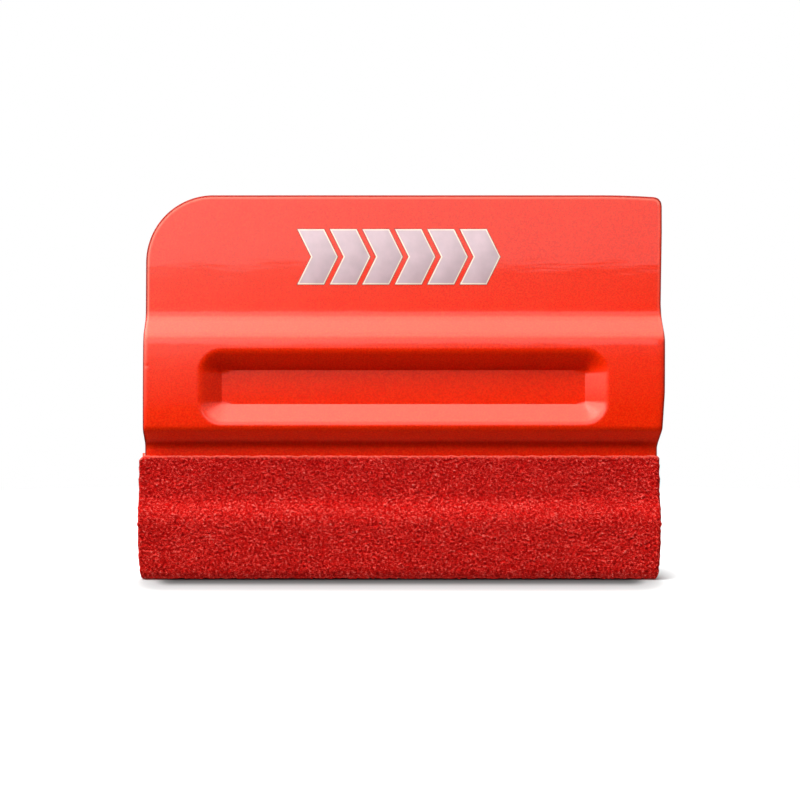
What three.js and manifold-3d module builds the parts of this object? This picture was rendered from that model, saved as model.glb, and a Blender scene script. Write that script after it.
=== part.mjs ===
// A hand squeegee for laying vinyl film: one moulded plastic body with a thin blade, a thick grip and a
// flexible neck, four magnets shut into the ends of the grip by round plugs, and a strip of suede folded
// round the lower lip and held there by an adhesive film.
//
// Millimetres, standing on the fold of the suede. X runs along the blade, Y through its thickness with
// the front face towards -Y, and Z up.

import * as THREE from 'three';
import { mergeVertices } from 'three/addons/utils/BufferGeometryUtils.js';
import Module from 'manifold-3d';

const wasm = await Module();
wasm.setup();

// The body's section from the top down: half thicknesses, and the heights where they change
const HEIGHT = 74.1;
const BLADE = { top: 0.95, foot: 1.25, end: 50.5 };
const GRIP = { half: 4.5, top: 46.7, bottom: 28.8, middle: 37.4 };
const NECK = { half: 1.3, top: 26.1, bottom: 15.4 };
const LIP = { half: 2.2, widest: 12, foot: 1.7 };
const ROUNDING = { bladeEdge: 0.45, upperSlope: 1, lowerSlope: 0.8, lip: 1.4, foot: 0.8 };

// Layers round the lower lip, from the plastic outwards
const CLEARANCE = 0.1;
const FILM_THICKNESS = 0.15;
const SUEDE_THICKNESS = 0.9;
const SUEDE_OFFSET = CLEARANCE + FILM_THICKNESS + CLEARANCE;
const LIP_END = SUEDE_OFFSET + SUEDE_THICKNESS;

// The body's outline, seen from the front: its sides lean a little and its top edge drops at one end
const LEFT = { top: -49.3, foot: -49.5 };
const RIGHT = { top: 50.25, grip: 50.25, gripLevel: 36, foot: 49.4, footLevel: 25.3 };
const BIG_CORNER = 13;
const SMALL_CORNER = 1.6;
const TOP_DROP = { start: 38.5, depth: 0.45 };

// The finger trough, one in each face of the grip
const TROUGH = {
  centre: 0.5,
  middle: 37,
  rim: { width: 78.6, height: 14.9, corner: 4.8 },
  floor: { width: 69.8, height: 6.5, corner: 0.5 },
  floorThickness: 4,
  lipStart: 0.66,
  lipCorner: 0.83,
};

// Magnets in the full-thickness ends of the grip, put in from the back
const MAGNET = { diameter: 6, length: 6 };
const PLUG = { diameter: 6.9, thickness: 1.1 };
const FIT_GAP = 0.15;
const MAGNET_FROM_CENTRE = 44.4;
const MAGNET_FROM_MIDDLE = 4.3;

// The suede strip and the film under it
const STRIP = { left: -50.25, width: 100, frontTop: 23.9, backTop: 24.3 };
const FILM_INSET = 0.4;

const ROUND_STEPS = 5;
const RING_STEPS = 6;
const DISC_SIDES = 36;
const OVERCUT = 1;

const plastic = new THREE.MeshStandardMaterial({ color: 0xf5401f, roughness: 0.4, metalness: 0 });
const nickel = new THREE.MeshStandardMaterial({ color: 0xc9ccd0, roughness: 0.2, metalness: 1 });
const adhesive = new THREE.MeshStandardMaterial({ color: 0xcfc9c4, roughness: 0.6, metalness: 0 });
const suede = new THREE.MeshStandardMaterial({ color: 0xb51c17, roughness: 1, metalness: 0 });

// ---- Solids ----

function toSolid(geometry) {
  geometry.deleteAttribute('normal');
  geometry.deleteAttribute('uv');
  const merged = mergeVertices(geometry, 1e-4);
  const mesh = new wasm.Mesh({
    numProp: 3,
    vertProperties: new Float32Array(merged.attributes.position.array),
    triVerts: new Uint32Array(merged.index.array),
  });
  return new wasm.Manifold(mesh);
}

function toGeometry(solid) {
  const mesh = solid.getMesh();
  const geometry = new THREE.BufferGeometry();
  geometry.setAttribute('position', new THREE.BufferAttribute(mesh.vertProperties, 3));
  geometry.setIndex(new THREE.BufferAttribute(mesh.triVerts, 1));
  geometry.computeVertexNormals();
  return geometry;
}

// A section drawn in the YZ plane, run along X from one place to another.
function alongX(section, from, to) {
  const geometry = new THREE.ExtrudeGeometry(section, { depth: to - from, bevelEnabled: false });
  const axes = new THREE.Matrix4().makeBasis(
    new THREE.Vector3(0, 1, 0),
    new THREE.Vector3(0, 0, 1),
    new THREE.Vector3(1, 0, 0),
  );
  geometry.applyMatrix4(axes);
  return geometry.translate(from, 0, 0);
}

// An outline drawn in the XZ plane, run through the whole thickness.
function throughY(outline, thickness) {
  const geometry = new THREE.ExtrudeGeometry(outline, { depth: thickness, bevelEnabled: false });
  geometry.rotateX(Math.PI / 2);
  return geometry.translate(0, thickness / 2, 0);
}

// A round disc whose axis lies along Y.
function discAlongY(diameter, from, to, x, z) {
  const radius = diameter / 2;
  const geometry = new THREE.CylinderGeometry(radius, radius, to - from, DISC_SIDES);
  return geometry.translate(x, (from + to) / 2, z);
}

// A closed solid through a row of rings that have the same number of points.
function loft(rings) {
  const sides = rings[0].length;
  const positions = rings.flat().flatMap((point) => point.toArray());
  const triangles = [];
  for (let ring = 0; ring < rings.length - 1; ring += 1) {
    for (let side = 0; side < sides; side += 1) {
      const next = (side + 1) % sides;
      const [a, b] = [ring * sides + side, ring * sides + next];
      triangles.push(a, b, b + sides, a, b + sides, a + sides);
    }
  }
  const last = (rings.length - 1) * sides;
  for (let side = 1; side < sides - 1; side += 1) {
    triangles.push(0, side + 1, side);
    triangles.push(last, last + side, last + side + 1);
  }
  const geometry = new THREE.BufferGeometry();
  geometry.setAttribute('position', new THREE.Float32BufferAttribute(positions, 3));
  geometry.setIndex(triangles);
  return geometry;
}

// ---- Lines ----

// A line through its corners, each rounded by a curve that starts and ends `reach` away from the corner.
function roundedLine(corners) {
  const points = [];
  corners.forEach(({ at, reach }, index) => {
    if (!reach) {
      points.push(at);
      return;
    }
    const before = corners[index - 1].at;
    const after = corners[index + 1].at;
    const start = at.clone().lerp(before, reach / at.distanceTo(before));
    const end = at.clone().lerp(after, reach / at.distanceTo(after));
    points.push(...new THREE.QuadraticBezierCurve(start, at, end).getPoints(ROUND_STEPS));
  });
  return points;
}

// The same line, moved sideways by a distance to the right of its direction.
function movedAside(points, distance) {
  return points.map((point, index) => {
    const before = points[Math.max(index - 1, 0)];
    const after = points[Math.min(index + 1, points.length - 1)];
    const along = after.clone().sub(before).normalize();
    return new THREE.Vector2(point.x + along.y * distance, point.y - along.x * distance);
  });
}

function corner(halfThickness, z, reach = 0) {
  return { at: new THREE.Vector2(-halfThickness, z), reach };
}

function mirrored({ at, reach }) {
  return { at: new THREE.Vector2(-at.x, at.y), reach };
}

// The lower lip's front side from the neck down: it thickens under the suede and thins towards its foot.
const lipCorners = [
  corner(NECK.half, NECK.bottom, ROUNDING.lip),
  corner(LIP.half, LIP.widest, ROUNDING.lip),
  corner(LIP.foot, LIP_END, ROUNDING.foot),
];

// ---- Body ----

function bodySection() {
  const front = [
    corner(BLADE.top, HEIGHT, ROUNDING.bladeEdge),
    corner(BLADE.foot, BLADE.end, ROUNDING.upperSlope),
    corner(GRIP.half, GRIP.top, ROUNDING.upperSlope),
    corner(GRIP.half, GRIP.bottom, ROUNDING.lowerSlope),
    corner(NECK.half, NECK.top, ROUNDING.lowerSlope),
    ...lipCorners,
  ];
  const around = [...front, ...front.map(mirrored).reverse()];
  const topMiddle = { at: new THREE.Vector2(0, HEIGHT), reach: 0 };
  return new THREE.Shape(roundedLine([topMiddle, ...around, topMiddle]).slice(0, -1));
}

function bodyOutline() {
  const outline = new THREE.Shape();
  const arcTop = HEIGHT - TOP_DROP.depth;
  outline.moveTo(LEFT.foot, 0);
  outline.lineTo(RIGHT.foot, 0);
  outline.lineTo(RIGHT.foot, RIGHT.footLevel);
  outline.lineTo(RIGHT.grip, RIGHT.gripLevel);
  outline.lineTo(RIGHT.top, arcTop - SMALL_CORNER);
  outline.absarc(RIGHT.top - SMALL_CORNER, arcTop - SMALL_CORNER, SMALL_CORNER, 0, Math.PI / 2, false);
  outline.quadraticCurveTo((TOP_DROP.start + RIGHT.top) / 2, HEIGHT, TOP_DROP.start, HEIGHT);
  outline.lineTo(LEFT.top + BIG_CORNER, HEIGHT);
  outline.absarc(LEFT.top + BIG_CORNER, HEIGHT - BIG_CORNER, BIG_CORNER, Math.PI / 2, Math.PI, false);
  return outline;
}

// A ring round the trough at one depth; `open` runs from 0 at its floor to 1 at its rim.
function troughRing(open, y) {
  const { rim, floor, centre, middle } = TROUGH;
  const between = (key) => THREE.MathUtils.lerp(floor[key], rim[key], open);
  const radius = between('corner');
  const across = between('width') / 2 - radius;
  const up = between('height') / 2 - radius;
  const ring = [];
  for (let quarter = 0; quarter < 4; quarter += 1) {
    const sideX = quarter === 0 || quarter === 3 ? 1 : -1;
    const sideZ = quarter < 2 ? 1 : -1;
    for (let step = 0; step <= RING_STEPS; step += 1) {
      const angle = (quarter + step / RING_STEPS) * (Math.PI / 2);
      const x = centre + sideX * across + radius * Math.cos(angle);
      const z = middle + sideZ * up + radius * Math.sin(angle);
      ring.push(new THREE.Vector3(x, y, z));
    }
  }
  return ring;
}

// What is cut out of one face of the grip: a flat floor, a sloping wall and a rounded lip.
function troughCutter(side) {
  const floorDepth = TROUGH.floorThickness / 2;
  const depthAt = (open) => THREE.MathUtils.lerp(floorDepth, GRIP.half, open / TROUGH.lipCorner);
  const lip = new THREE.QuadraticBezierCurve(
    new THREE.Vector2(TROUGH.lipStart, depthAt(TROUGH.lipStart)),
    new THREE.Vector2(TROUGH.lipCorner, GRIP.half),
    new THREE.Vector2(1, GRIP.half),
  );
  const wall = [new THREE.Vector2(0, floorDepth), ...lip.getPoints(ROUND_STEPS)];
  wall.push(new THREE.Vector2(1, GRIP.half + OVERCUT));
  const rings = wall.map((point) => troughRing(point.x, side * point.y));
  if (side > 0) rings.reverse();
  return loft(rings);
}

const magnetPlaces = [];
for (const [side, across] of [['left', -1], ['right', 1]]) {
  for (const [level, up] of [['upper', 1], ['lower', -1]]) {
    magnetPlaces.push({
      name: `${level}_${side}`,
      x: TROUGH.centre + across * MAGNET_FROM_CENTRE,
      z: GRIP.middle + up * MAGNET_FROM_MIDDLE,
    });
  }
}

const plugInner = GRIP.half - PLUG.thickness;
const plugSeat = plugInner - FIT_GAP;
const magnetOuter = plugSeat - FIT_GAP;
const magnetInner = magnetOuter - MAGNET.length;

// A stepped round pocket, open at the back face: the magnet's bore and the wider seat of its plug.
function pocketCutter({ x, z }) {
  const mouth = GRIP.half + OVERCUT;
  const bore = discAlongY(MAGNET.diameter + 2 * FIT_GAP, magnetInner - FIT_GAP, mouth, x, z);
  const seat = discAlongY(PLUG.diameter + 2 * FIT_GAP, plugSeat, mouth, x, z);
  return toSolid(bore).add(toSolid(seat));
}

function bladeBody() {
  const section = alongX(bodySection(), LEFT.foot - OVERCUT, RIGHT.top + OVERCUT);
  const outline = throughY(bodyOutline(), 2 * (GRIP.half + OVERCUT));
  let body = toSolid(section).intersect(toSolid(outline));
  body = body.subtract(toSolid(troughCutter(-1))).subtract(toSolid(troughCutter(1)));
  for (const place of magnetPlaces) body = body.subtract(pocketCutter(place));
  return toGeometry(body);
}

// ---- Folded strips ----

// A sheet folded round the lip: its front edge, the fold at the foot, and its back edge.
function foldedStrip(offset, thickness, frontTop, backTop, left, right) {
  const back = lipCorners.map(mirrored).reverse();
  const neckBack = mirrored(corner(NECK.half, backTop));
  const lip = roundedLine([corner(NECK.half, frontTop), ...lipCorners, ...back, neckBack]);
  const outer = movedAside(lip, offset + thickness);
  const inner = movedAside(lip, offset).reverse();
  return alongX(new THREE.Shape([...outer, ...inner]), left, right);
}

function adhesiveFilm() {
  const { left, width, frontTop, backTop } = STRIP;
  const [start, end] = [left + FILM_INSET, left + width - FILM_INSET];
  const tops = [frontTop - FILM_INSET, backTop - FILM_INSET];
  return foldedStrip(CLEARANCE, FILM_THICKNESS, ...tops, start, end);
}

function suedeSleeve() {
  const { left, width, frontTop, backTop } = STRIP;
  return foldedStrip(SUEDE_OFFSET, SUEDE_THICKNESS, frontTop, backTop, left, left + width);
}

// ---- Assembly ----

function named(name, geometry, material) {
  const mesh = new THREE.Mesh(geometry, material);
  mesh.name = name;
  return mesh;
}

const squeegee = new THREE.Group();
squeegee.name = 'squeegee_applicator';
squeegee.add(named('blade_body', bladeBody(), plastic));

const inserts = new THREE.Group();
for (const { name, x, z } of magnetPlaces) {
  const disc = discAlongY(MAGNET.diameter, magnetInner, magnetOuter, x, z);
  const plug = discAlongY(PLUG.diameter, plugInner, GRIP.half, x, z);
  inserts.add(named(`magnet_${name}`, disc, nickel));
  inserts.add(named(`magnet_plug_${name}`, plug, plastic));
}
squeegee.add(inserts);

const edging = new THREE.Group();
edging.add(named('adhesive_film', adhesiveFilm(), adhesive));
edging.add(named('suede_sleeve', suedeSleeve(), suede));
squeegee.add(edging);

export default squeegee;
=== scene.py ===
import math

import bpy
import numpy as np
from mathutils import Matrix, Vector
from mathutils.geometry import tessellate_polygon


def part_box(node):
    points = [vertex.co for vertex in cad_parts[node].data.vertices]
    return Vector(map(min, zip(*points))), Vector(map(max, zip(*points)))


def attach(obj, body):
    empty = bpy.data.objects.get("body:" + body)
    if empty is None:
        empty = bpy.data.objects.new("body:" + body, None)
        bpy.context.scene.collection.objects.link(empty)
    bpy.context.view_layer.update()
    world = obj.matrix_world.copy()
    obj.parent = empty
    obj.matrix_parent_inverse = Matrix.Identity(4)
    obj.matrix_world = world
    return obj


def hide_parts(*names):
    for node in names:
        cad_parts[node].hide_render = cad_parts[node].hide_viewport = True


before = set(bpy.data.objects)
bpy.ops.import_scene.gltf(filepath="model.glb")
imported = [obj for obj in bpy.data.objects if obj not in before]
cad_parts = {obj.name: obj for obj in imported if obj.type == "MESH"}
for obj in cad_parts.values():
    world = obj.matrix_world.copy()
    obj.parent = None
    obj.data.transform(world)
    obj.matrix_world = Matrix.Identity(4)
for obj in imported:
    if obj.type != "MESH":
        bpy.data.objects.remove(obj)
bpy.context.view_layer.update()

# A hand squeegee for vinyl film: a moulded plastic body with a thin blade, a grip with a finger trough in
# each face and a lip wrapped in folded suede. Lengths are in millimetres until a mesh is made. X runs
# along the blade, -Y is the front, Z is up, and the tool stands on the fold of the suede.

MM = 0.001
BODY = "root"

# ---- Driving dimensions ----


def node_box(node):
    """The lowest and highest corner of a CAD node, in millimetres."""
    low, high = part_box(node)
    return np.array(low) / MM, np.array(high) / MM


BODY_LOW, BODY_HIGH = node_box("blade_body")
SUEDE_LOW, SUEDE_HIGH = node_box("suede_sleeve")

HEIGHT = BODY_HIGH[2]
GRIP_HALF = BODY_HIGH[1]
FOOT = BODY_LOW[2]

# The slopes between neck and grip and between grip and blade, each as (lower height, upper height)
LOWER_SLOPE = (26.1, 28.8)
UPPER_SLOPE = (46.7, 50.5)
NECK_HALF = 1.3

# The body's half thickness from its foot up: (half, height, reach of the rounding at that corner)
LIP_CORNERS = [(1.7, FOOT, 0.8), (2.2, 12, 1.4), (NECK_HALF, 15.4, 1.4)]
BODY_CORNERS = LIP_CORNERS + [
    (NECK_HALF, LOWER_SLOPE[0], 0.9),
    (GRIP_HALF, LOWER_SLOPE[1], 0.9),
    (GRIP_HALF, UPPER_SLOPE[0], 1.2),
    (1.25, UPPER_SLOPE[1], 1.1),
    (0.95, HEIGHT, 0),
]

# The body's outline: its sides lean a little, widest at the grip, and its top edge drops at the right
BIG_CORNER = 13
SMALL_CORNER = 1.6
TOP_DROP = {"start": 38.5, "depth": 0.45}
LEFT_SIDE = {"z": [0, HEIGHT - BIG_CORNER], "x": BODY_LOW[0] + np.array([0.1, 0.32])}
RIGHT_SIDE = {
    "z": [25.3, 29, 36, 46, 53, 67],
    "x": BODY_HIGH[0] + np.array([-0.83, -0.25, 0.18, 0.25, -0.08, 0.17]),
}

# The finger trough in each face
TROUGH = {
    "x": 0.5,
    "z": 37,
    "rim": (78.6 / 2, 14.9 / 2, 4.8),
    "floor": (69.8 / 2, 6.5 / 2, 0.5),
    "floor_half": 2.0,
    "lip_start": 0.66,
}

# The grip's face is crowned, and every face has slow shrink waves
CROWN = {"depth": 0.1, "reach": 9.3}
WAVE_DEPTH = 0.012

# Rounding of the body's rim, which is larger where the body is thicker
RIM = {"thin": 0.4, "thick": 0.95}
RIM_STEPS = [0, 0.015, 0.034, 0.06, 0.12, 0.19, 0.26, 0.34, 0.45, 0.57, 0.741, 1.0]

# Light painted along the rim: a dark outline on it is painted shade, and on the blade a paler line just inside
# it is a painted highlight. Both are weaker at the right
RIM_PAINTED_SHADE = {"width": 0.38, "at_right": 0.5}
RIM_PAINTED_HIGHLIGHT = {"place": 0.55, "width": 0.16, "strength": 0.6, "at_right": 0.2, "fade": (47, 53)}
WEAR_REACH = 0.35

# The side wall's rows, as shares of the way from the middle to each face. The parting line is the row at 0
WALL_SHARES = [-0.97, -0.85, -0.5, -0.2, -0.06, 0, 0.06, 0.2, 0.5, 0.85, 0.97]
PARTING_RIDGE = 0.035

PLUG_NAMES = ["upper_left", "lower_left", "upper_right", "lower_right"]
SEAT_GAP = 0.15
SEAT_CHAMFER = {"depth": 0.12, "width": 0.14}
POCKET_WALL = 0.02

# A plug's turned profile. Its rim is (in from the edge, below the top), its middle (radius, below the top)
PLUG_FOOT_CHAMFER = 0.2
PLUG_RIM = [(0, 0.14), (0.04, 0.05), (0.14, 0), (0.3, 0), (0.42, 0.05), (0.55, 0.06)]
PLUG_MIDDLE = [(1.6, 0.09), (0.62, 0.1), (0.55, 0.08), (0.48, 0.03), (0.4, 0.02), (0.2, 0.035), (0, 0.04)]
PLUG_SIDES = 96

# The folded strip. Its nap rises and falls by `height` round a level that is `room` under its full thickness,
# and its outer face is rounded over SUEDE_EDGE at the cut edges
SUEDE = {"offset": 0.35, "thickness": 0.9, "spacing": 0.24, "front_top": 23.9, "back_top": 24.3}
NAP = {"height": 0.105, "room": 0.11, "grain_size": 0.8, "clump_size": 2.4}
SUEDE_EDGE = 0.34
INNER_ROWS = 15

# The camera: level, in front of the tool
CAMERA = {"x": -0.145, "distance": 262, "z": 34.54, "lens": 60.9}


# ---- Lines and sections ----


def rounded_line(corners, steps=12):
    """Points along a line through (a, b, reach) corners, each rounded from `reach` before it to after it."""
    points = []
    for index, (a, b, reach) in enumerate(corners):
        here = np.array([a, b], float)
        if not reach:
            points.append(here)
            continue
        before = np.array((corners[index - 1] if index else (0, b))[:2], float)
        after = np.array(corners[index + 1][:2], float)
        start = here + (before - here) * reach / np.linalg.norm(before - here)
        end = here + (after - here) * reach / np.linalg.norm(after - here)
        for t in np.linspace(0, 1, steps + 1):
            points.append((1 - t) ** 2 * start + 2 * t * (1 - t) * here + t**2 * end)
    return np.array(points)


SECTION = rounded_line(BODY_CORNERS)


def section_half(z):
    """The body's half thickness at a height, before the rim is rounded."""
    return np.interp(z, SECTION[:, 1], SECTION[:, 0])


def left_side(z):
    return np.interp(z, LEFT_SIDE["z"], LEFT_SIDE["x"])


def right_side(z):
    return np.interp(z, RIGHT_SIDE["z"], RIGHT_SIDE["x"])


def top_edge(x):
    across = np.clip((x - TOP_DROP["start"]) / (BODY_HIGH[0] - TOP_DROP["start"]), 0, 1)
    return HEIGHT - TOP_DROP["depth"] * across**2


def smooth_step(low, high, value):
    t = np.clip((value - low) / (high - low), 0, 1)
    return t * t * (3 - 2 * t)


# ---- Shape of the body's faces ----


def rounded_box_distance(x, z, half_x, half_z, radius):
    """Distance outside a box with rounded corners, negative inside."""
    across = np.abs(x) - (half_x - radius)
    up = np.abs(z) - (half_z - radius)
    outside = np.hypot(np.maximum(across, 0), np.maximum(up, 0))
    return outside + np.minimum(np.maximum(across, up), 0) - radius


def trough_depth(x, z):
    """How far the trough lies under the grip's face: a flat floor, a sloping wall and a rounded lip."""
    x = x - TROUGH["x"]
    z = z - TROUGH["z"]
    floor, rim = np.array(TROUGH["floor"]), np.array(TROUGH["rim"])
    low, high = np.zeros_like(x), np.ones_like(x)
    for _ in range(24):
        middle = (low + high) / 2
        sizes = [f + (r - f) * middle for f, r in zip(floor, rim)]
        outside = rounded_box_distance(x, z, *sizes) > 0
        low = np.where(outside, middle, low)
        high = np.where(outside, high, middle)
    open_share = (low + high) / 2
    deepest = GRIP_HALF - TROUGH["floor_half"]
    start = TROUGH["lip_start"]
    corner = (start + 1) / 2
    wall = deepest * (1 - open_share / corner)
    t = np.clip((open_share - start) / (1 - start), 0, 1)
    lip = deepest * (1 - start / corner) * (1 - t) ** 2
    return np.where(open_share < start, wall, lip)


def moulding_wave(x, z):
    """Slow waves, from -1 to 1, that a moulded face has from shrinking as it cools."""
    wave = np.sin(x * 0.23 + 0.6 * np.sin(z * 0.11) + 1.3) + 0.7 * np.sin(x * 0.11 + z * 0.17)
    return (wave + 0.5 * np.sin(x * 0.41 - z * 0.29 + 2.0)) / (1 + 0.7 + 0.5)


def rim_radius(z):
    share = (section_half(z) - 1) / (GRIP_HALF - 1)
    return RIM["thin"] + (RIM["thick"] - RIM["thin"]) * np.clip(share, 0, 1)


# Two small nicks at the grip's ends
NICKS = {
    "x": (left_side(41) + 0.9, right_side(41) - 0.5),
    "z": 41.05,
    "radius": 0.24,
    "stretch": 1.4,
    "depth": 0.03,
}


def face_half(x, z, rim_distance):
    """Half thickness of the finished body at a place, `rim_distance` in from its outline."""
    half = section_half(z) - trough_depth(x, z)
    plateau = smooth_step(*LOWER_SLOPE, z) * (1 - smooth_step(*UPPER_SLOPE, z))
    height_share = np.clip((z - TROUGH["z"]) / CROWN["reach"], -1, 1)
    half = half - CROWN["depth"] * (height_share**2 + height_share**4) * plateau
    half = half - WAVE_DEPTH * (1 + moulding_wave(x, z))
    radius = rim_radius(z)
    inward = np.clip(1 - rim_distance / radius, 0, 1)
    half = half - radius * (1 - np.sqrt(1 - inward**2))
    for nick_x in NICKS["x"]:
        away = np.hypot((x - nick_x) / NICKS["stretch"], z - NICKS["z"]) / NICKS["radius"]
        half = half - NICKS["depth"] * np.exp(-(away**2)) * (section_half(z) > 3)
    return half


# ---- The body's grid ----


def graded(breaks, step_at):
    """Places from the first break to the last: every break, and evenly spaced ones between them."""
    breaks = sorted(breaks)
    kept = [breaks[0]]
    for place in breaks[1:]:
        if place - kept[-1] > 0.012:
            kept.append(place)
    places = [kept[0]]
    for start, end in zip(kept, kept[1:]):
        count = max(1, math.ceil((end - start) / step_at((start + end) / 2) - 1e-6))
        places += list(np.linspace(start, end, count + 1)[1:])
    return np.array(places)


def plug_places():
    places = {}
    for name in PLUG_NAMES:
        low, high = node_box(f"magnet_plug_{name}")
        places[name] = (low + high) / 2
    return places


PLUGS = plug_places()
PLUG_LOW, PLUG_HIGH = node_box(f"magnet_plug_{PLUG_NAMES[0]}")
MAGNET_LOW, MAGNET_HIGH = node_box(f"magnet_{PLUG_NAMES[0]}")
PLUG_RADIUS = (PLUG_HIGH[0] - PLUG_LOW[0]) / 2
SEAT_RADIUS = PLUG_RADIUS + SEAT_GAP
BORE_RADIUS = (MAGNET_HIGH[0] - MAGNET_LOW[0]) / 2 + SEAT_GAP
RING_LINES = [
    BORE_RADIUS - POCKET_WALL, BORE_RADIUS, SEAT_RADIUS - POCKET_WALL, SEAT_RADIUS, SEAT_RADIUS + 0.06,
    SEAT_RADIUS + SEAT_CHAMFER["width"],
]
PATCH = {"round": SEAT_RADIUS + 0.15, "square": SEAT_RADIUS + 0.68}

# The grid is laid out between straight sides, and then moved to the leaning ones. A band of KEPT_BAND
# along the top and the right keeps its spacing, so that the rounding stays even
REFERENCE_RIGHT = 49.7
REFERENCE_LEFT = LEFT_SIDE["x"][1]
KEPT_BAND = 0.6
TOP_BLEND = 8
LEFT_BLEND = 1.5

# Spacing of the columns by what they cross, and of the rows by height. The suede covers the body up to COVERED
COLUMN_STEPS = {"trough_floor": 0.95, "trough_wall": 0.3, "grip_end": 0.45}
ROW_STEPS = {"covered": 1.6, "grip": 0.26, "blade": 0.8}
FOOT_SHARES = [0, 0.04, 0.13, 0.27, 0.45, 0.7, 1.0]
COVERED = 23


def body_columns():
    breaks = [REFERENCE_LEFT + step for step in RIM_STEPS] + [REFERENCE_RIGHT - step for step in RIM_STEPS]
    for half in (TROUGH["rim"][0], TROUGH["floor"][0]):
        breaks += [TROUGH["x"] - half, TROUGH["x"] + half]
    for place in PLUGS.values():
        breaks += [place[0] + side * line for side in (-1, 1) for line in RING_LINES]

    def step_at(x):
        from_centre = abs(x - TROUGH["x"])
        if from_centre < TROUGH["floor"][0]:
            return COLUMN_STEPS["trough_floor"]
        return COLUMN_STEPS["trough_wall" if from_centre < TROUGH["rim"][0] else "grip_end"]

    return graded(breaks, step_at)


def body_rows():
    foot_reach = LIP_CORNERS[0][2]
    breaks = [FOOT + foot_reach * share for share in FOOT_SHARES]
    breaks += [COVERED] + [HEIGHT - step for step in RIM_STEPS]
    for _, z, reach in BODY_CORNERS[3:-1]:
        breaks += [z - reach, z, z + reach]
    for half in (TROUGH["rim"][1], TROUGH["floor"][1]):
        breaks += [TROUGH["z"] - half, TROUGH["z"] + half]
    for place in PLUGS.values():
        breaks += [place[2] + side * line for side in (-1, 1) for line in RING_LINES]

    _, blade_start, blade_reach = BODY_CORNERS[-2]

    def step_at(z):
        if z < COVERED:
            return ROW_STEPS["covered"]
        return ROW_STEPS["blade" if z > blade_start + blade_reach else "grip"]

    return graded(breaks, step_at)


def onto_corner(from_side, from_top, radius):
    """Bends the square corner of a grid onto an arc. Takes and gives distances from the two straight edges."""
    across = np.clip(radius - from_side, 0, None)
    up = np.clip(radius - from_top, 0, None)
    length = np.hypot(across, up)
    scale = np.where(length > 0, np.maximum(across, up) / np.maximum(length, 1e-9), 1)
    return from_side + across * (1 - scale), from_top + up * (1 - scale)


def body_plan():
    """The grid's places on the front face: x, z and the distance from the outline."""
    x, z = np.meshgrid(body_columns(), body_rows())
    near_top = smooth_step(HEIGHT - TOP_BLEND, HEIGHT - KEPT_BAND, z)
    z = z - (HEIGHT - top_edge(x)) * near_top
    outer = REFERENCE_RIGHT - KEPT_BAND
    plug_edge = max(place[0] for place in PLUGS.values()) + SEAT_RADIUS + 0.08
    x = x + (right_side(z) - REFERENCE_RIGHT) * np.clip((x - plug_edge) / (outer - plug_edge), 0, 1)
    x = x + (left_side(z) - REFERENCE_LEFT) * np.clip(1 - (x - REFERENCE_LEFT) / LEFT_BLEND, 0, 1)
    from_left, from_right = x - left_side(z), right_side(z) - x
    from_top = top_edge(x) - z
    rim_distance = np.minimum(np.minimum(from_left, from_right), from_top)
    new_left, new_top = onto_corner(from_left, from_top, BIG_CORNER)
    x, z = x + new_left - from_left, z - (new_top - from_top)
    new_right, new_top = onto_corner(from_right, from_top, SMALL_CORNER)
    near_right = from_right < BIG_CORNER
    x = np.where(near_right, x - (new_right - from_right), x)
    z = np.where(near_right, z - (new_top - from_top), z)
    return x, z, rim_distance


def onto_plugs(x, z):
    """The same grid with the squares round each plug bent into circles."""
    for place in PLUGS.values():
        across, up = x - place[0], z - place[2]
        reach = np.maximum(np.abs(across), np.abs(up))
        length = np.maximum(np.hypot(across, up), 1e-9)
        share = 1 - smooth_step(PATCH["round"], PATCH["square"], reach)
        scale = 1 + (reach / length - 1) * share
        x = np.where(reach < PATCH["square"], place[0] + across * scale, x)
        z = np.where(reach < PATCH["square"], place[2] + up * scale, z)
    return x, z


def pocket_floor(x, z, half):
    """The back face with the stepped pocket of each plug and magnet sunk into it."""
    for place in PLUGS.values():
        radius = np.hypot(x - place[0], z - place[2])
        chamfer = SEAT_CHAMFER["depth"] * np.clip(1 - (radius - SEAT_RADIUS) / SEAT_CHAMFER["width"], 0, 1)
        half = np.where(radius < SEAT_RADIUS + SEAT_CHAMFER["width"], half - chamfer, half)
        half = np.where(radius < SEAT_RADIUS - POCKET_WALL / 2, PLUG_LOW[1] - SEAT_GAP, half)
        half = np.where(radius < BORE_RADIUS - POCKET_WALL / 2, MAGNET_LOW[1] - SEAT_GAP, half)
    return half


# ---- Meshes ----


def new_piece(name, points, faces, materials, face_materials=None, sharp=None, **attributes):
    """A mesh object of points in millimetres, riding on the body. Attributes hold one number per point."""
    mesh = bpy.data.meshes.new(name)
    mesh.from_pydata((np.asarray(points) * MM).tolist(), [], [list(map(int, face)) for face in faces])
    for material in materials:
        mesh.materials.append(material)
    if face_materials is not None:
        mesh.polygons.foreach_set("material_index", np.asarray(face_materials, np.int32))
    mesh.polygons.foreach_set("use_smooth", np.ones(len(mesh.polygons), bool))
    if sharp is not None:
        mesh.set_sharp_from_angle(angle=math.radians(sharp))
    for key, values in attributes.items():
        layer = mesh.attributes.new(key, "FLOAT", "POINT")
        layer.data.foreach_set("value", np.asarray(values, np.float32))
    mesh.update()
    piece = bpy.data.objects.new(name, mesh)
    bpy.context.scene.collection.objects.link(piece)
    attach(piece, BODY)
    return piece


def grid_faces(rows, columns, first=0, flip=False):
    """Quads of a grid of points that is stored row by row."""
    numbers = first + np.arange(rows * columns).reshape(rows, columns)
    quads = np.stack(
        [numbers[:-1, :-1], numbers[:-1, 1:], numbers[1:, 1:], numbers[1:, :-1]], axis=-1
    ).reshape(-1, 4)
    return quads[:, ::-1] if flip else quads


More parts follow.
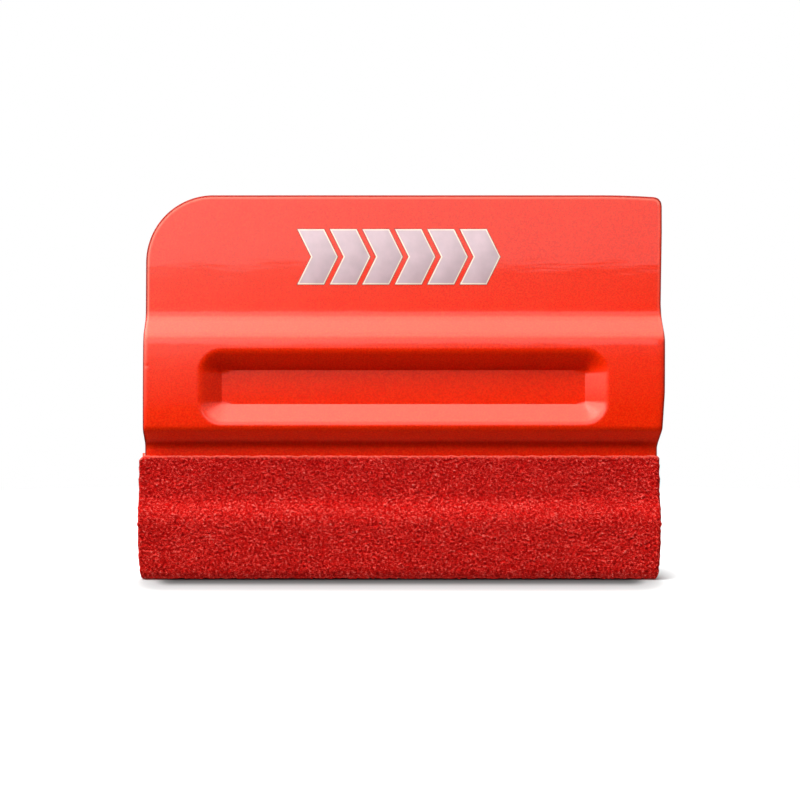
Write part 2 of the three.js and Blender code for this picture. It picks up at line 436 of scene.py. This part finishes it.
def border(rows, columns):
    """The numbers of a grid's outer points, once round."""
    numbers = np.arange(rows * columns).reshape(rows, columns)
    return np.concatenate(
        [numbers[0, :-1], numbers[:-1, -1], numbers[-1, :0:-1], numbers[:0:-1, 0]]
    )


def ring_faces(ring, after):
    """Quads between two closed rings of point numbers."""
    return np.stack([ring, after, np.roll(after, -1), np.roll(ring, -1)], axis=-1)[:, ::-1]


def side_wall(front_rim, back_rim):
    """Rings of points from the front rim to the back one, pushed out a little at the parting line."""
    towards = np.roll(front_rim, -1, axis=0) - np.roll(front_rim, 1, axis=0)
    outward = np.stack([towards[:, 2], np.zeros(len(front_rim)), -towards[:, 0]], axis=-1)
    outward /= np.linalg.norm(outward, axis=1)[:, None]
    rings = []
    for share in WALL_SHARES:
        ring = front_rim.copy()
        ring[:, 1] = np.where(share < 0, -front_rim[:, 1] * share, back_rim[:, 1] * share)
        ring += outward * (PARTING_RIDGE if share == 0 else 0)
        rings.append(ring)
    return rings


def rim_painted_light(x, z, rim_distance):
    """How strongly the painted highlight line and the painted shade outline show at each place of the front
    face.
    """
    on_right = right_side(z) - x < rim_distance + 0.01
    off_line = (rim_distance - RIM_PAINTED_HIGHLIGHT["place"]) / RIM_PAINTED_HIGHLIGHT["width"]
    strength = RIM_PAINTED_HIGHLIGHT["strength"] * smooth_step(*RIM_PAINTED_HIGHLIGHT["fade"], z)
    line = strength * np.where(on_right, RIM_PAINTED_HIGHLIGHT["at_right"], 1) * np.exp(-(off_line**2))
    edge = np.where(on_right, RIM_PAINTED_SHADE["at_right"], 1) * np.exp(-((rim_distance / RIM_PAINTED_SHADE["width"]) ** 4))
    return line.ravel(), edge.ravel()


def make_body(material):
    """The moulded body: a front and a back face on one grid, and a side wall with the mould's parting line."""
    x, z, rim_distance = body_plan()
    rows, columns = x.shape
    count = rows * columns
    back_x, back_z = onto_plugs(x, z)
    back_distance = np.minimum(right_side(back_z) - back_x, back_x - left_side(back_z))
    back_distance = np.minimum(rim_distance, back_distance)
    front_half = face_half(x, z, rim_distance)
    back_half = pocket_floor(back_x, back_z, face_half(back_x, back_z, back_distance))
    front = np.stack([x, -front_half, z], axis=-1).reshape(-1, 3)
    back = np.stack([back_x, back_half, back_z], axis=-1).reshape(-1, 3)
    faces = [grid_faces(rows, columns), grid_faces(rows, columns, first=count, flip=True)]
    wear = [np.exp(-distance.ravel() / WEAR_REACH) for distance in (rim_distance, back_distance)]

    rim = border(rows, columns)
    wall = side_wall(front[rim], back[rim])
    wall_rings = [2 * count + len(rim) * row + np.arange(len(rim)) for row in range(len(wall))]
    rings = [rim] + wall_rings + [rim + count]
    faces += [ring_faces(ring, after) for ring, after in zip(rings, rings[1:])]
    wear += [np.full(len(rim), 1.0 if share == 0 else 0.6) for share in WALL_SHARES]

    elsewhere = np.zeros(count + len(rim) * len(wall))
    # The painted highlight line and the painted shade outline along the rim, on the front face only
    line, edge = (np.concatenate([mark, elsewhere]) for mark in rim_painted_light(x, z, rim_distance))
    body = new_piece(
        "moulded_body", np.concatenate([front, back] + wall), np.concatenate(faces), [material],
        sharp=27, wear=np.concatenate(wear), rim_line=line, rim_edge=edge,
    )
    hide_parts("blade_body")
    return body


def turned(profile, place, sides):
    """Points and faces of a solid turned round the Y axis through a place, from (radius, y) pairs."""
    angles = np.arange(sides) * 2 * math.pi / sides
    points, faces, rings = [], [], []
    for radius, y in profile:
        if radius == 0:
            rings.append([len(points)])
            points.append((place[0], y, place[2]))
            continue
        rings.append(list(range(len(points), len(points) + sides)))
        points += [(place[0] + radius * math.cos(a), y, place[2] + radius * math.sin(a)) for a in angles]
    for inner, outer in zip(rings, rings[1:]):
        for side in range(sides):
            after = (side + 1) % sides
            if len(inner) == 1:
                faces.append((inner[0], outer[after], outer[side]))
            elif len(outer) == 1:
                faces.append((inner[side], inner[after], outer[0]))
            else:
                faces.append((inner[side], inner[after], outer[after], outer[side]))
    return points, faces


def make_plug(name, material):
    """A round plug: a chamfered edge, a shallow dished top and a small gate mark in its middle."""
    low, high = node_box(f"magnet_plug_{name}")
    foot, top = low[1], high[1]
    profile = [(0, foot), (PLUG_RADIUS - PLUG_FOOT_CHAMFER, foot), (PLUG_RADIUS, foot + PLUG_FOOT_CHAMFER)]
    profile += [(PLUG_RADIUS - inset, top - drop) for inset, drop in PLUG_RIM]
    profile += [(radius, top - drop) for radius, drop in PLUG_MIDDLE]
    points, faces = turned(profile, PLUGS[name], PLUG_SIDES)
    plug = new_piece(f"plug_{name}", points, faces, [material], sharp=40)
    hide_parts(f"magnet_plug_{name}")
    return plug


# ---- Suede ----


def band_noise(shape, spacing, wavelength, spread, seed):
    """Noise of mean 0 and deviation 1 whose grains are about half a wavelength across."""
    white = np.random.default_rng(seed).standard_normal(shape)
    frequency = np.hypot(*np.meshgrid(np.fft.fftfreq(shape[1], spacing), np.fft.fftfreq(shape[0], spacing)))
    window = np.exp(-(((frequency - 1 / wavelength) / spread) ** 2))
    noise = np.fft.ifft2(np.fft.fft2(white) * window).real
    return (noise - noise.mean()) / noise.std()


def lip_line(spacing):
    """Even points round the lip as (y, z), their outward normals, and how far along the line each one is."""
    front = [(-NECK_HALF, SUEDE["front_top"], 0)] + [(-h, z, r) for h, z, r in reversed(LIP_CORNERS)]
    back = LIP_CORNERS + [(NECK_HALF, SUEDE["back_top"], 0)]
    line = rounded_line(front + back, steps=24)
    lengths = np.concatenate([[0], np.cumsum(np.linalg.norm(np.diff(line, axis=0), axis=1))])
    count = round(lengths[-1] / spacing) + 1
    places = np.linspace(0, lengths[-1], count)
    even = np.stack([np.interp(places, lengths, line[:, axis]) for axis in (0, 1)], axis=-1)
    along = np.gradient(even, axis=0)
    along /= np.linalg.norm(along, axis=1)[:, None]
    return even, np.stack([along[:, 1], -along[:, 0]], axis=-1), places


def cut_edge(start, end, seed):
    """Rows of points that fill a cut edge between two faces of the strip, raised in places by its fibres."""
    shares = np.array([0.2, 0.4, 0.6, 0.8])
    fuzz = band_noise((len(shares), len(start)), SUEDE["spacing"], 0.8, 0.5, seed=seed)
    rows = start + (end - start) * shares[:, None, None]
    rows[:, :, 2] += 0.02 + 0.07 * np.tanh(fuzz)
    return rows


def shoulder(distance, reach):
    """How far a rounded edge falls away, at a distance in from it."""
    return reach * (1 - np.sqrt(1 - np.clip(1 - distance / reach, 0, 1) ** 2))


def bell(value, middle, width):
    """A smooth hump of height 1."""
    return np.exp(-(((value - middle) / width) ** 2))


def cut_drops(x, along):
    """How far the strip's top edges are cut down: raggedly, and with a bevel at the front's two corners."""
    spacing = SUEDE["spacing"]
    slow = band_noise((4, len(x)), spacing, 3.2, 0.2, seed=12)
    ragged = 0.035 * (slow + 0.6 * band_noise((4, len(x)), spacing, 0.9, 0.5, seed=13))
    bevel = np.clip(0.85 - (x - x[0]), 0, None) + np.clip(0.45 - (x[-1] - x), 0, None)
    front = np.clip(0.12 + ragged[0] + bevel, 0, None)
    back = np.clip(0.12 + ragged[1], 0, None)
    reach = 6.0
    near_front = np.clip(1 - along / reach, 0, 1)[:, None]
    near_back = np.clip(1 - (along[-1] - along) / reach, 0, 1)[:, None]
    return front[None, :] * near_front, back[None, :] * near_back


def leaning_ends(x, z):
    """The strip's x places, with ends cut a little unevenly, pulled in at the fold and bulging above it."""
    sway = 0.05 * band_noise((len(z), 4), SUEDE["spacing"], 2.0, 0.4, seed=15)
    pull = 0.22 * bell(z, FOOT, 2.2)
    bulge = 0.15 * bell(z, 11, 5)
    inset_left = pull - bulge + sway[:, 0]
    inset_right = 0.08 + pull - 1.3 * bulge + sway[:, 1]
    reach = 3
    near_left = np.clip(1 - (x - x[0]) / reach, 0, 1)
    near_right = np.clip(1 - (x[-1] - x) / reach, 0, 1)
    return x[None, :] + inset_left[:, None] * near_left - inset_right[:, None] * near_right


def make_suede(material):
    """The folded suede strip: a napped outer face, fuzzy cut edges and a plain inner face."""
    spacing = SUEDE["spacing"]
    line, normal, along = lip_line(spacing)
    width = SUEDE_HIGH[0] - SUEDE_LOW[0]
    x = np.linspace(SUEDE_LOW[0], SUEDE_HIGH[0], round(width / spacing) + 1)
    shape = (len(along), len(x))
    grain = band_noise(shape, spacing, NAP["grain_size"], 0.5, seed=4)
    clumps = band_noise(shape, spacing, NAP["clump_size"], 0.3, seed=9)
    nap = np.tanh(0.9 * grain + 0.1 * clumps)
    from_end = np.minimum(x - x[0], x[-1] - x)
    from_top = np.minimum(along, along[-1] - along)

    # The outer face stands its thickness off the lip, less at the cut edges and where the fold is pressed flat
    end_round = shoulder(from_end, SUEDE_EDGE)
    full = SUEDE["offset"] + SUEDE["thickness"] - NAP["room"]
    outer = full + NAP["height"] * nap - shoulder(from_top, SUEDE_EDGE)[:, None] - end_round[None, :]
    outer = outer - bell(line[:, 1], FOOT, 0.9)[:, None] * (0.1 + 0.09 * np.tanh(clumps))

    front_drop, back_drop = cut_drops(x, along)
    place_x = leaning_ends(x, line[:, 1])
    place_z = line[:, 1][:, None] - front_drop - back_drop

    def layer(rows, offset):
        """Points that stand an offset off the lip, for some rows of the line."""
        out = normal[rows]
        y = line[rows, 0][:, None] + out[:, 0][:, None] * offset
        return np.stack([place_x[rows], y, place_z[rows] + out[:, 1][:, None] * offset], axis=-1)

    outer_points = layer(np.arange(len(along)), outer)
    inner_rows = np.unique(np.round(np.linspace(0, len(along) - 1, INNER_ROWS)).astype(int))
    inner_offset = SUEDE["offset"] + 0.5 * end_round[None, :] + np.zeros((len(inner_rows), 1))
    inner_points = layer(inner_rows, inner_offset)[::-1]

    # The strip's section is a closed loop: outer face, back cut edge, inner face, front cut edge
    back_edge = cut_edge(outer_points[-1], inner_points[0], seed=21)
    front_edge = cut_edge(inner_points[-1], outer_points[0], seed=22)
    loops = np.concatenate([outer_points, back_edge, inner_points, front_edge])
    rows, columns = loops.shape[:2]
    points = loops.reshape(-1, 3)
    numbers = np.arange(rows * columns).reshape(rows, columns)
    faces = list(grid_faces(rows + 1, columns) % (rows * columns))
    faces += end_cap(points, numbers[:, 0])
    faces += [face[::-1] for face in end_cap(points, numbers[:, -1])]

    # For the material: how far the nap stands up, with a paler band along the waist that is painted highlight
    # where the lip faces up, and the cut edges, whose pale colour also runs onto the outer face's top rounding
    # as painted highlight
    raised = np.full((rows, columns), 0.2)
    # The bell is painted highlight: the waist band is made paler where the lip faces up to the light
    raised[: len(along)] = nap + 0.3 * bell(line[:, 1], 13.2, 2)[:, None]
    cut = 0.6 + 0.15 * band_noise((rows, columns), spacing, NAP["grain_size"], 0.5, seed=25)
    # On the outer face the pale cut colour covers the rounding of the top edges: painted highlight of the light
    # caught there
    cut[: len(along)] = bell(from_top, 0, 0.24)[:, None] * (0.75 + 0.25 * nap)
    suede = new_piece("suede_wrap", points, faces, [material], nap=raised.ravel(), cut=cut.ravel())
    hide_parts("suede_sleeve")
    return suede


def end_cap(points, loop):
    """Triangles that close one end of the strip, inside the loop of its section."""
    flat = [(points[n][1], points[n][2], 0) for n in loop]
    return [[loop[a], loop[b], loop[c]] for a, b, c in tessellate_polygon([flat])]


# ---- Printed mark ----

MARK = {"left": -19.8, "right": 19.1, "bottom": 56.9, "top": 67.4, "count": 6, "gap": 1.3, "point": 2.6}
PAINTED_SHADOW_INK, CREAM_INK, FILL_INK = range(3)
# The outlines of each chevron's steps, as (outwards, raised), and the ink of the strip between each two of them
MARK_STEPS = [(0.2, 0.0), (0.18, 0.02), (0.08, 0.03), (-0.16, 0.045), (-0.2, 0.055)]
# The two dark strips round each chevron are painted shadow of the raised print
STRIP_INKS = [PAINTED_SHADOW_INK, PAINTED_SHADOW_INK, CREAM_INK, FILL_INK]
CLEAR_OF_RIM = 5.0


def offset_outline(outline, distance):
    """A closed anticlockwise outline moved outwards by a distance, with its corners kept sharp."""
    outline = np.array(outline, float)
    before = outline - np.roll(outline, 1, axis=0)
    after = np.roll(outline, -1, axis=0) - outline
    normals = []
    for edge in (before, after):
        edge = edge / np.linalg.norm(edge, axis=1)[:, None]
        normals.append(np.stack([edge[:, 1], -edge[:, 0]], axis=-1))
    middle = normals[0] + normals[1]
    middle /= (middle * normals[0]).sum(axis=1)[:, None]
    return outline + middle * distance


def make_mark(materials):
    """A row of plain chevrons printed on the front of the blade: a dark outline that is painted shadow of the
    raised print, a cream rim and the fill.
    """
    pitch = (MARK["right"] - MARK["left"] - MARK["point"] + MARK["gap"]) / MARK["count"]
    middle = (MARK["bottom"] + MARK["top"]) / 2
    points, faces, inks = [], [], []
    for number in range(MARK["count"]):
        start = MARK["left"] + number * pitch
        end = start + pitch - MARK["gap"]
        outline = [
            (start, MARK["bottom"]), (end, MARK["bottom"]), (end + MARK["point"], middle),
            (end, MARK["top"]), (start, MARK["top"]), (start + MARK["point"], middle),
        ]
        first = len(points)
        sides = len(outline)
        for outwards, raised in MARK_STEPS:
            for x, z in offset_outline(outline, outwards):
                half = face_half(np.array([x]), np.array([z]), np.array([CLEAR_OF_RIM]))[0]
                points.append((x, -(half + raised), z))
        for step, ink in enumerate(STRIP_INKS):
            for side in range(sides):
                a = first + step * sides + side
                b = first + step * sides + (side + 1) % sides
                faces.append((a, b, b + sides, a + sides))
                inks.append(ink)

        # A chevron's front and underside are each two slanted halves
        front = first + len(STRIP_INKS) * sides
        faces += [[front + corner for corner in half] for half in ((0, 1, 2, 5), (5, 2, 3, 4))]
        inks += [FILL_INK] * 2
        faces += [[first + corner for corner in half] for half in ((5, 2, 1, 0), (4, 3, 2, 5))]
        inks += [PAINTED_SHADOW_INK] * 2
    return new_piece("printed_chevrons", points, faces, materials, face_materials=inks, sharp=20)


# ---- Materials ----


class Nodes:
    """A node tree, with short ways to add to it."""

    def __init__(self, tree, coordinates="Object"):
        self.tree = tree
        self.coordinates = tree.nodes.new("ShaderNodeTexCoord").outputs[coordinates]

    def add(self, kind, **values):
        """Adds a node. A value named like a socket goes to that socket, any other is a setting of the node."""
        node = self.tree.nodes.new(kind)
        for key, value in values.items():
            if key in node.inputs:
                self.feed(node.inputs[key], value)
            else:
                setattr(node, key, value)
        return node

    def feed(self, socket, value):
        if isinstance(value, bpy.types.NodeSocket):
            self.tree.links.new(value, socket)
        else:
            socket.default_value = value

    def noise(self, size, detail=3, roughness=0.5, stretch=(1, 1, 1), offset=0):
        """Noise whose features are about `size` millimetres across."""
        mapping = self.add(
            "ShaderNodeMapping", Vector=self.coordinates, Scale=[s / (size * MM) for s in stretch],
            Location=(offset, offset, offset),
        )
        node = self.add(
            "ShaderNodeTexNoise", Vector=mapping.outputs[0], Scale=1.0, Detail=detail, Roughness=roughness
        )
        return node.outputs["Fac"]

    def ramp(self, value, *stops):
        node = self.add("ShaderNodeValToRGB", Fac=value)
        elements = node.color_ramp.elements
        while len(elements) < len(stops):
            elements.new(0.5)
        for element, (position, colour) in zip(elements, stops):
            element.position = position
            element.color = colour if len(colour) == 4 else (*colour, 1)
        return node.outputs["Color"]

    def graph(self, value, *points):
        """A number that follows straight lines through (value, result) points."""
        first, last = points[0][0], points[-1][0]
        stops = [((place - first) / (last - first), (result,) * 3) for place, result in points]
        return self.ramp(self.span(value, first, last), *stops)

    def span(self, value, low, high, to_low=0.0, to_high=1.0):
        node = self.add("ShaderNodeMapRange")
        for socket, item in zip(node.inputs, (value, low, high, to_low, to_high)):
            self.feed(socket, item)
        return node.outputs[0]

    def mix(self, share, first, second, kind="MIX"):
        node = self.add("ShaderNodeMix", data_type="RGBA", blend_type=kind)
        self.feed(node.inputs[0], share)
        self.feed(node.inputs[6], first)
        self.feed(node.inputs[7], second)
        return node.outputs[2]

    def maths(self, operation, *values):
        node = self.add("ShaderNodeMath", operation=operation)
        for socket, value in zip(node.inputs, values):
            self.feed(socket, value)
        return node.outputs[0]

    def ridges(self, size):
        """Winding ridges about `size` millimetres apart, from 0 between them to 1 on top."""
        stretch = np.array([0.7, 1.05, 1.05])
        mapping = self.add("ShaderNodeMapping", Vector=self.coordinates, Scale=stretch / (size * MM))
        node = self.add("ShaderNodeTexNoise", Vector=mapping.outputs[0], Scale=1.0, Detail=1.2, Distortion=1.2)
        from_middle = self.maths("ABSOLUTE", self.maths("SUBTRACT", node.outputs["Fac"], 0.5))
        return self.span(from_middle, 0.085, 0.0)

    def blend(self, share, first, second):
        """A node that goes from one shader node to another."""
        node = self.add("ShaderNodeMixShader", Fac=share)
        self.feed(node.inputs[1], first.outputs[0])
        self.feed(node.inputs[2], second.outputs[0])
        return node

    def attribute(self, name):
        return self.add("ShaderNodeAttribute", attribute_name=name).outputs["Fac"]

    def bump(self, height, depth, strength=1.0, normal=None):
        """A bump of `depth` millimetres over the height's range."""
        node = self.add("ShaderNodeBump", Height=height, Distance=depth * MM, Strength=strength)
        if normal is not None:
            self.feed(node.inputs["Normal"], normal)
        return node.outputs["Normal"]


class Shader(Nodes):
    """A material with one Principled surface. Its values are given by socket name, with _ for spaces."""

    def __init__(self, name, **values):
        self.material = bpy.data.materials.new(name)
        self.material.use_nodes = True
        super().__init__(self.material.node_tree)
        self.surface = self.tree.nodes["Principled BSDF"]
        self.set(**values)

    def set(self, **values):
        for key, value in values.items():
            self.feed(self.surface.inputs[key.replace("_", " ")], value)


def plastic_material():
    """Glossy red moulded plastic with a fine grain, a darker outline along the rim that is painted shade and a
    paler line just inside it that is a painted highlight.
    """
    shader = Shader("satin_red_plastic", Specular_IOR_Level=0.03, Coat_Roughness=0.035, Coat_IOR=1.5)
    cloud = shader.noise(14, detail=3)
    colour = shader.ramp(cloud, (0.3, (0.91, 0.015, 0.0007)), (0.7, (0.97, 0.02, 0.001)))
    speck = shader.noise(0.36, detail=2)
    colour = shader.mix(shader.span(speck, 0.35, 0.7, 0.0, 0.8), colour, (0.97, 0.042, 0.004, 1))
    pit = shader.noise(0.3, detail=1, offset=7)
    colour = shader.mix(shader.span(pit, 0.6, 0.35, 0.0, 0.5), colour, (0.7, 0.01, 0.0005, 1))
    worn = shader.maths("MULTIPLY", shader.attribute("wear"), shader.span(shader.noise(3), 0.3, 0.7, 0.05, 0.3))
    colour = shader.mix(worn, colour, (0.95, 0.13, 0.07, 1))
    # A paler line just inside the rim: a painted highlight
    colour = shader.mix(shader.attribute("rim_line"), colour, (1.0, 0.3, 0.2, 1))
    # A darker outline on the rim: painted shade
    edge = shader.attribute("rim_edge")
    colour = shader.mix(edge, colour, (0.2, 0.011, 0.008, 1))
    roughness = shader.span(shader.noise(5, detail=4), 0.3, 0.7, 0.31, 0.38)
    streaks = shader.noise(2.4, detail=4, stretch=(0.15, 1, 1))
    sunk = shader.bump(streaks, 0.012)
    grain = shader.bump(shader.noise(0.4, detail=3), 0.02, normal=sunk)
    shader.set(Base_Color=colour, Roughness=roughness, Normal=grain, Coat_Normal=sunk)
    shader.set(Coat_Weight=shader.span(edge, 0.1, 0.8, 0.8, 0.0))
    return shader.material


def suede_material():
    """Red napped suede: dark between the curls of the nap, paler on their tips and at the cut edges. A paler
    band along the waist and a pale line along the outer face's top edges are painted highlight.
    """
    shader = Shader(
        "napped_suede", Roughness=0.95, Specular_IOR_Level=0.03, Sheen_Weight=0.05, Sheen_Roughness=0.4,
        Sheen_Tint=(1, 0.4, 0.35, 1),
    )
    # The nap attribute also carries the paler waist band, which is painted highlight
    nap = shader.span(shader.attribute("nap"), -1.0, 1.3, 0.0, 1.15)
    curls = shader.ridges(0.68)
    fine = shader.ridges(0.42)
    height = shader.maths("MULTIPLY", nap, 0.28)
    height = shader.maths("MULTIPLY_ADD", curls, 0.42, height)
    height = shader.maths("MULTIPLY_ADD", fine, 0.3, height)
    colour = shader.ramp(
        height,
        (0.03, (0.24, 0.002, 0.002)),
        (0.2, (0.56, 0.006, 0.005)),
        (0.46, (0.86, 0.015, 0.011)),
        (0.66, (1.0, 0.065, 0.05)),
        (0.9, (1.0, 0.28, 0.23)),
    )
    patches = shader.noise(9, detail=3)
    colour = shader.mix(shader.span(patches, 0.4, 0.65, 0.0, 0.2), colour, (0.45, 0.005, 0.004, 1))
    # Pale cut edges; on the outer face's top rounding this paleness is painted highlight
    colour = shader.mix(shader.attribute("cut"), colour, (1.0, 0.17, 0.115, 1))
    bump = shader.bump(shader.maths("ADD", curls, fine), 0.09)
    shader.set(Base_Color=colour, Normal=bump)
    return shader.material


def ink_material(name, colour, roughness=0.45):
    """Screen-print ink with a slight unevenness."""
    shader = Shader(name, Specular_IOR_Level=0.4)
    pale = tuple(min(1, c * 1.06) for c in colour) + (1,)
    dark = tuple(c * 0.93 for c in colour) + (1,)
    tone = shader.mix(shader.span(shader.noise(2.2, detail=4), 0.3, 0.7), dark, pale)
    rough = shader.span(shader.noise(0.6), 0.3, 0.7, roughness - 0.05, roughness + 0.08)
    shader.set(Base_Color=tone, Roughness=rough, Normal=shader.bump(shader.noise(0.3), 0.003))
    return shader.material


def nickel_material():
    shader = Shader("nickel_plating", Metallic=1.0)
    colour = shader.ramp(shader.noise(1.5), (0.3, (0.62, 0.61, 0.58)), (0.7, (0.74, 0.73, 0.7)))
    rough = shader.span(shader.noise(0.4, detail=4), 0.3, 0.7, 0.18, 0.32)
    shader.set(Base_Color=colour, Roughness=rough)
    return shader.material


def film_material():
    shader = Shader("adhesive_film", Specular_IOR_Level=0.3)
    colour = shader.ramp(shader.noise(2.5), (0.3, (0.66, 0.47, 0.42)), (0.7, (0.78, 0.6, 0.55)))
    rough = shader.span(shader.noise(0.5), 0.3, 0.7, 0.5, 0.7)
    shader.set(Base_Color=colour, Roughness=rough, Normal=shader.bump(shader.noise(0.4), 0.01))
    return shader.material


# ---- Stage ----


def make_camera():
    data = bpy.data.cameras.new("camera")
    data.lens = CAMERA["lens"]
    data.sensor_width = 36
    data.clip_start = 0.01
    camera = bpy.data.objects.new("camera", data)
    camera.location = (CAMERA["x"] * MM, -CAMERA["distance"] * MM, CAMERA["z"] * MM)
    camera.rotation_euler = (math.pi / 2, 0, 0)
    bpy.context.scene.collection.objects.link(camera)
    bpy.context.scene.camera = camera


def make_softbox(name, place, target, width, height, brightness, lights=True, reflected=False):
    """A flat soft light of the given radiance. It lights the tool, or shows in its gloss, or does both."""
    data = bpy.data.lights.new(name, "AREA")
    data.shape = "RECTANGLE"
    data.size, data.size_y = width, height
    data.energy = brightness * math.pi * width * height
    light = bpy.data.objects.new(name, data)
    light.location = place
    aim = Vector(target) - Vector(place)
    light.rotation_euler = aim.to_track_quat("-Z", "Y").to_euler()
    light.visible_camera = False
    light.visible_diffuse = lights
    light.visible_glossy = reflected
    bpy.context.scene.collection.objects.link(light)


def make_world():
    """White to the camera. It adds a little light, and the tool's gloss reflects a gradient of its own."""
    world = bpy.data.worlds.new("world")
    bpy.context.scene.world = world
    world.use_nodes = True
    nodes = Nodes(world.node_tree, coordinates="Generated")
    direction = nodes.add("ShaderNodeSeparateXYZ", Vector=nodes.coordinates).outputs
    path = nodes.add("ShaderNodeLightPath").outputs

    dim = nodes.graph(direction["Z"], (-1.0, 0.12), (-0.2, 0.04), (1.0, 0.04))
    lit = nodes.add("ShaderNodeBackground", Color=(1, 1, 1, 1), Strength=dim)

    # What the gloss reflects: brighter upwards, and near the horizon brighter at the left
    low_part = nodes.graph(
        direction["Z"],
        (-0.3, 0.0), (-0.1, 0.06), (-0.03, 0.12), (0.0, 0.52),
        (0.05, 1.15), (0.1, 1.9), (0.17, 2.1), (1.0, 2.1),
    )
    to_left = nodes.graph(direction["X"], (-0.6, 2.8), (-0.2, 1.0), (0.0, 0.5), (0.2, 0.2))
    high_part = nodes.graph(
        direction["Z"], (0.08, 0.0), (0.14, 0.4), (0.4, 0.8), (0.6, 2.8), (0.8, 4.4), (0.92, 3.8), (1.0, 4.0)
    )
    glow = nodes.maths("MULTIPLY_ADD", low_part, to_left, high_part)
    reflected = nodes.add("ShaderNodeBackground", Color=(1, 0.95, 0.82, 1), Strength=glow)

    shown = nodes.add("ShaderNodeBackground", Color=(1, 1, 1, 1), Strength=1.0)
    result = nodes.blend(path["Is Glossy Ray"], lit, reflected)
    result = nodes.blend(path["Is Camera Ray"], result, shown)
    nodes.feed(nodes.tree.nodes["World Output"].inputs["Surface"], result.outputs[0])


def make_floor():
    """A pale table with a contact shadow painted on it close to the fold. It takes the tool's shadow, but
    doesn't light the tool, shade it or show in its gloss.
    """
    size = 6.0
    mesh = bpy.data.meshes.new("floor")
    corners = [(-size, -size, 0), (size, -size, 0), (size, size, 0), (-size, size, 0)]
    mesh.from_pydata(corners, [], [(0, 1, 2, 3)])
    shader = Shader("pale_table", Specular_IOR_Level=0.0, Roughness=1.0)
    clean = shader.ramp(shader.noise(300), (0.3, (0.71, 0.73, 0.73)), (0.7, (0.73, 0.75, 0.75)))

    # A painted contact shadow: the table's colour darkens close to the fold, where the suede rests on it
    place = shader.add("ShaderNodeSeparateXYZ", Vector=shader.coordinates).outputs
    squares = []
    for axis, half, weight in (("X", SUEDE_HIGH[0] - 7, 2.2), ("Y", 1.0, 1.0)):
        beyond = shader.maths("SUBTRACT", shader.maths("ABSOLUTE", place[axis]), half * MM)
        beyond = shader.maths("MULTIPLY", shader.maths("MAXIMUM", beyond, 0.0), weight)
        squares.append(shader.maths("MULTIPLY", beyond, beyond))
    away = shader.maths("SQRT", shader.maths("ADD", *squares))
    steps = [(2, 0.08), (5.7, 0.15), (9.8, 0.42), (14, 0.5), (20, 0.76), (28, 1.0)]
    # The painted shadow's share of the table's colour, by distance from the fold
    shade = shader.graph(away, *[(distance * MM, share) for distance, share in steps])
    shader.set(Base_Color=shader.mix(1.0, clean, shade, kind="MULTIPLY"))

    # Further away it fades into the white of the background
    length = shader.add("ShaderNodeVectorMath", operation="LENGTH")
    shader.feed(length.inputs[0], shader.coordinates)
    white = shader.add("ShaderNodeEmission", Color=(1, 1, 1, 1), Strength=1.0)
    faded = shader.blend(shader.span(length.outputs["Value"], 0.12, 0.3), shader.surface, white)
    shader.feed(shader.tree.nodes["Material Output"].inputs["Surface"], faded.outputs[0])
    mesh.materials.append(shader.material)
    floor = bpy.data.objects.new("floor", mesh)
    floor.visible_diffuse = False
    floor.visible_shadow = False
    floor.visible_glossy = False
    bpy.context.scene.collection.objects.link(floor)


make_camera()
make_world()
make_floor()
make_softbox("overhead", (-0.15, -0.05, 1.3), (-0.15, -0.05, 0), 1.6, 1.2, 3.2)
make_softbox("key", (-0.63, -0.63, 1.19), (0, 0, 0.04), 1.5, 1.0, 10.6)
make_softbox("strip", (-0.1, -1.3, 0.4835), (-0.1, 0, 0.4835), 0.85, 0.52, 1.3, lights=False, reflected=True)
# From under the table, in place of what a white one throws back up
make_softbox("bounce", (0, -0.01, -0.6), (0, 0, 0.04), 1.2, 0.25, 3.6)
make_softbox("back", (0.35, 1.1, 0.9), (0, 0, 0.04), 1.6, 1.1, 2.4, reflected=True)

plastic = plastic_material()
make_body(plastic)
for plug_name in PLUG_NAMES:
    make_plug(plug_name, plastic)
make_suede(suede_material())
make_mark([
    # A dark ink painted round the chevrons as their shadow
    ink_material("painted_shadow_ink", (0.30, 0.02, 0.02)),
    ink_material("cream_ink", (0.95, 0.84, 0.7)),
    ink_material("silver_pink_ink", (0.64, 0.49, 0.53)),
])

def paint(node, material):
    """Gives a CAD piece that keeps its mesh one material."""
    node.data.materials.clear()
    node.data.materials.append(material)


nickel = nickel_material()
for name in PLUG_NAMES:
    paint(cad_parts[f"magnet_{name}"], nickel)
paint(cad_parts["adhesive_film"], film_material())

bpy.context.scene.view_settings.view_transform = "Standard"
